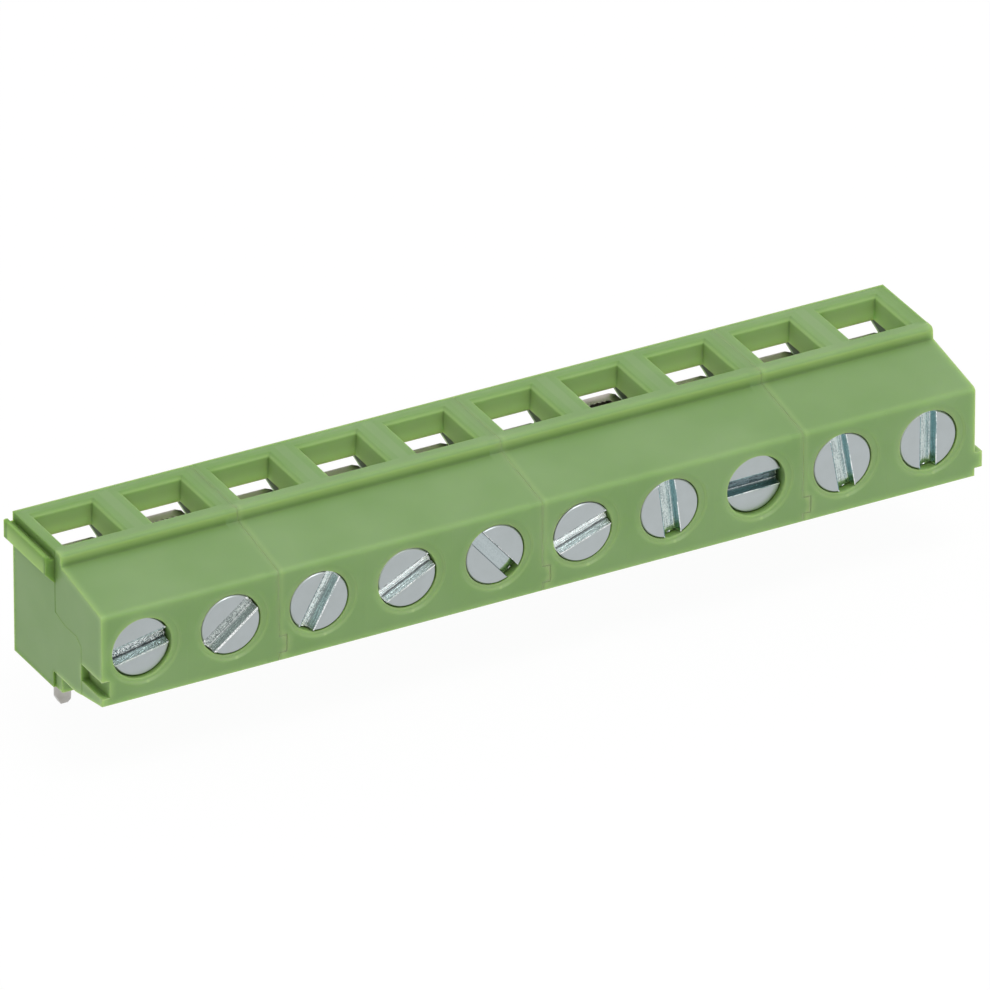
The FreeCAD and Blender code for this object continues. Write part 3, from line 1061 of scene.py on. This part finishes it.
    def head(self, draft: MeshDraft) -> None:
        """Draw the head.

        Args:
            draft: The mesh in the making.
        """
        half = self.slot_width / 2
        first = math.asin(half / self.radius)
        angles = [first + (math.pi - 2 * first) * i / self.columns for i in range(self.columns + 1)]
        rows = [draft.row(self.column(angle)) for angle in angles]
        smooth_rows = 1 + self.face_rows
        total = len(rows[0])
        slot_rows = slice(smooth_rows - 1, total - smooth_rows + 1)
        for left, right in zip(rows, rows[1:]):
            draft.strip(left[:smooth_rows], right[:smooth_rows], 0)
            draft.strip(left[slot_rows], right[slot_rows], 1)
            draft.strip(left[total - smooth_rows:], right[total - smooth_rows:], 0)
        self.slot_ends(draft, rows, smooth_rows + self.wall_rows, first)
        self.barrel(draft, angles, first)

    def slot_ends(self, draft: MeshDraft, rows: List[List[int]], start: int, first: float) -> None:
        """Draw the floor's round ends, where the slot runs out of the head.

        Args:
            draft: The mesh in the making.
            rows: The numbers of the head's columns.
            start: The place of the floor's first point in a column.
            first: The angle at which the slot's wall meets the rim.
        """
        for row, sign in ((rows[0], 1), (rows[-1], -1)):
            edge = row[start:len(row) - start]
            arc = []
            for k in range(len(edge)):
                share = -1 + 2 * k / (len(edge) - 1)
                u = sign * self.radius * math.cos(first * share)
                arc.append(self.at(u, self.radius * math.sin(first * share), self.slot_depth))
            draft.strip(edge, draft.row(arc), 1)

    def barrel(self, draft: MeshDraft, angles: List[float], first: float) -> None:
        """Draw the side of the head.

        Args:
            draft: The mesh in the making.
            angles: The angles of the columns.
            first: The angle at which the slot's wall meets the rim.
        """
        ring: List[float] = []
        for sign in (1, -1):
            top = [sign * angle for angle in angles]
            if sign < 0:
                top = top[::-1]
            upper = draft.row([self.round(self.radius, angle, self.rim) for angle in top])
            lower = draft.row([self.round(self.radius, angle, self.slot_depth) for angle in top])
            draft.strip(upper, lower, 0)
            ring.extend(top)
            end = top[-1]
            turn = 2 * first
            steps = self.floor_rows - 1
            ring.extend(end + turn * k / steps for k in range(1, steps))
        upper = draft.row([self.round(self.radius, angle, self.slot_depth) for angle in ring])
        lower = draft.row([self.round(self.radius, angle, self.head_length) for angle in ring])
        draft.strip(upper, lower, 0, closed=True)

    def round(self, radius: float, angle: float, depth: float) -> Spot:
        """Return a point at an angle from the slot's direction."""
        return self.at(radius * math.cos(angle), radius * math.sin(angle), depth)

    def shank(self, draft: MeshDraft) -> None:
        """Draw the underside of the head, the thread and the tip.

        Args:
            draft: The mesh in the making.
        """
        steps = self.turn_steps
        run = self.length - self.head_length
        count = int(run / self.thread_pitch * self.pitch_steps)
        angles = [math.tau * i / steps for i in range(steps)]
        inner = draft.row([self.round(self.root, a, self.head_length) for a in angles])
        outer = draft.row([self.round(self.radius, a, self.head_length) for a in angles])
        draft.strip(outer, inner, 0, closed=True)
        rows = [inner]
        for k in range(1, count + 1):
            depth = self.head_length + run * k / count
            near_tip = max(0.0, depth - (self.length - self.tip))
            ring = []
            for angle in angles:
                phase = (depth / self.thread_pitch + angle / math.tau) % 1.0
                ridge = min(1.0, max(0.0, self.thread_flank[0] - self.thread_flank[1] * abs(phase - 0.5)))
                radius = self.root + (self.crest - self.root) * ridge
                ring.append(self.round(min(radius, self.crest - near_tip), angle, depth))
            rows.append(draft.row(ring))
        for upper, lower in zip(rows, rows[1:]):
            draft.strip(upper, lower, 0, closed=True)
        tip = draft.row([self.at(0.0, 0.0, self.length)] * steps)
        draft.strip(rows[-1], tip, 0, closed=True)

    def build(self, zinc: bpy.types.Material, sawn: bpy.types.Material) -> bpy.types.Object:
        """Make the screw in place of its node.

        Args:
            zinc: The finish of the head and thread.
            sawn: The finish of the slot.

        Returns:
            The screw.
        """
        draft = MeshDraft()
        self.head(draft)
        self.shank(draft)
        made = draft.build(f"slotted_screw_{self.number}", [zinc, sawn], [1], self.crease_deg)
        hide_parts(self.node)
        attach(made, self.node)
        return made


@dataclass
class TerminalRow:
    """The four moulded blocks with their screws, cages, bars and pins."""

    slot_degs: Tuple[float, ...] = (11, 38, 61, 27, 130, 19, 97, 1, 100, 90)
    wears_and_sheens: Tuple[SlotWearAndSheen, ...] = (
        SlotWearAndSheen.TORN, SlotWearAndSheen.BRUISED, SlotWearAndSheen.SOFT, SlotWearAndSheen.STREAKED, SlotWearAndSheen.CLEAN,
        SlotWearAndSheen.STREAKED, SlotWearAndSheen.FINE, SlotWearAndSheen.DULLED, SlotWearAndSheen.FINE, SlotWearAndSheen.FINE,
    )

    def dress(
        self,
        nodes: Dict[str, bpy.types.Object],
        family: str,
        count: int,
        material: bpy.types.Material,
    ) -> None:
        """Give one finish to a family of nodes.

        Args:
            nodes: The nodes by name.
            family: The start of their names.
            count: How many there are.
            material: The finish.
        """
        for number in range(1, count + 1):
            piece = nodes[f"{family}_{number}"]
            for place in piece.material_slots:
                place.material = material
        log.info("%s: %d pieces in %s", family, count, material.name)

    def build(self, nodes: Dict[str, bpy.types.Object]) -> None:
        """Dress the nodes and make the screws.

        Args:
            nodes: The nodes by name.
        """
        self.dress(nodes, "housing", BLOCKS, MouldedPolyamide().make())
        platings = {"cage": Plating.NICKEL, "bar": Plating.TIN, "pin": Plating.SOLDER}
        for family, plating in platings.items():
            self.dress(nodes, family, POLES, plating.value.make())
        zinc = ZincPlate().make()
        sawn = {wear_and_sheen: wear_and_sheen.finish.make() for wear_and_sheen in SlotWearAndSheen}
        for number, (slot_deg, wear_and_sheen) in enumerate(zip(self.slot_degs, self.wears_and_sheens), start=1):
            screw = ClampScrew(number, slot_deg, wear_and_sheen).build(zinc, sawn[wear_and_sheen])
            log.info("%s: %s slot", screw.name, wear_and_sheen.name.lower())


@dataclass(frozen=True)
class WhiteFloor:
    """Pale floor just under the pins, white to the camera apart from a faint shadow."""

    reach: float = 2.0
    colour: Colour = (1.0, 1.0, 1.0)
    glow: float = 0.96
    gap: float = 0.02 * MM

    def make(self) -> bpy.types.Material:
        """Return the floor's material."""
        material, sheet = new_material("white floor")
        seen = sheet.looked_at()
        lit = sheet.node("ShaderNodeBsdfDiffuse", {}, {"Color": (*self.colour, 1.0)})
        white = sheet.node("ShaderNodeEmission", {}, {"Color": (1.0, 1.0, 1.0, 1.0), "Strength": 1.0})
        mixed = sheet.node("ShaderNodeMixShader", {},
                           {0: seen * self.glow, 1: lit.outputs[0], 2: white.outputs[0]})
        sheet.node("ShaderNodeOutputMaterial", {}, {"Surface": mixed.outputs[0]})
        return material

    def build(self, low: Vector, high: Vector) -> bpy.types.Object:
        """Lay the floor.

        Args:
            low: The lowest corner of the object.
            high: Its highest corner.

        Returns:
            The floor.
        """
        centre = (low + high) / 2
        level = low.z - self.gap
        corners = [(-1, -1), (1, -1), (1, 1), (-1, 1)]
        points = [(centre.x + a * self.reach, centre.y + b * self.reach, level) for a, b in corners]
        mesh = bpy.data.meshes.new("floor")
        mesh.from_pydata(points, [], [(0, 1, 2, 3)])
        mesh.materials.append(self.make())
        floor = bpy.data.objects.new("floor", mesh)
        bpy.context.scene.collection.objects.link(floor)
        floor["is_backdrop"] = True
        return floor


@dataclass(frozen=True)
class StudioLight:
    """Even white room with one soft lamp above the front."""

    room: float = 0.80
    lamp_azimuth: float = 12.0
    lamp_elevation: float = 66.0
    lamp_distance: float = 0.50
    lamp_size: float = 0.18
    lamp_power: float = 0.94

    def build(self, target: Vector) -> None:
        """Set the world and the lamp.

        Args:
            target: The point that the lamp faces.
        """
        world = bpy.data.worlds.new("white room")
        world.use_nodes = True
        bpy.context.scene.world = world
        sheet = NodeSheet(world.node_tree)
        strength = self.room + sheet.looked_at() * (1.0 - self.room)
        white = {"Color": (1.0, 1.0, 1.0, 1.0), "Strength": strength}
        back = sheet.node("ShaderNodeBackground", {}, white)
        sheet.node("ShaderNodeOutputWorld", {}, {"Surface": back.outputs[0]})
        lamp = bpy.data.lights.new("soft lamp", "AREA")
        lamp.shape = "SQUARE"
        lamp.size = self.lamp_size
        lamp.energy = self.lamp_power
        made = bpy.data.objects.new("soft lamp", lamp)
        bpy.context.scene.collection.objects.link(made)
        back_way = direction(self.lamp_azimuth, self.lamp_elevation)
        made.location = target + back_way * self.lamp_distance
        made.rotation_mode = "QUATERNION"
        made.rotation_quaternion = (-back_way).to_track_quat("-Z", "Y")


def direction(azimuth: float, elevation: float) -> Vector:
    """Return the direction from the object to a viewer.

    Args:
        azimuth: Degrees to the right of the front.
        elevation: Degrees above the floor.
    """
    turn = math.radians(azimuth)
    rise = math.radians(elevation)
    flat = math.cos(rise)
    return Vector((math.sin(turn) * flat, -math.cos(turn) * flat, math.sin(rise)))


@dataclass(frozen=True)
class Viewpoint:
    """Camera at the photograph's place, far off behind a long lens."""

    azimuth: float = -28.442
    elevation: float = 29.06
    distance: float = 1014.03 * MM
    lens: float = 719.37
    sensor: float = 36.0
    clip: Pair = (0.05, 20.0)
    target: Point = (22.979 * MM, -4.000 * MM, 4.636 * MM)

    def build(self) -> bpy.types.Object:
        """Return the camera."""
        data = bpy.data.cameras.new("camera")
        data.lens = self.lens
        data.sensor_width = self.sensor
        data.clip_start, data.clip_end = self.clip
        camera = bpy.data.objects.new("camera", data)
        bpy.context.scene.collection.objects.link(camera)
        back = direction(self.azimuth, self.elevation)
        right = Vector((math.cos(math.radians(self.azimuth)), math.sin(math.radians(self.azimuth)), 0.0))
        upward = back.cross(right)
        turn = Matrix((right, upward, back)).transposed().to_4x4()
        camera.matrix_world = Matrix.Translation(Vector(self.target) + back * self.distance) @ turn
        bpy.context.scene.camera = camera
        return camera


def main() -> None:
    """Build the scene in order."""
    logging.basicConfig(level=logging.INFO, format="%(name)s: %(message)s")
    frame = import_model()
    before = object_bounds()
    bpy.context.scene.view_settings.view_transform = "Standard"
    TerminalRow().build(frame["nodes"])
    low, high = before
    WhiteFloor().build(low, high)
    StudioLight().build((low + high) / 2)
    Viewpoint().build()


if __name__ == "__main__":
    main()
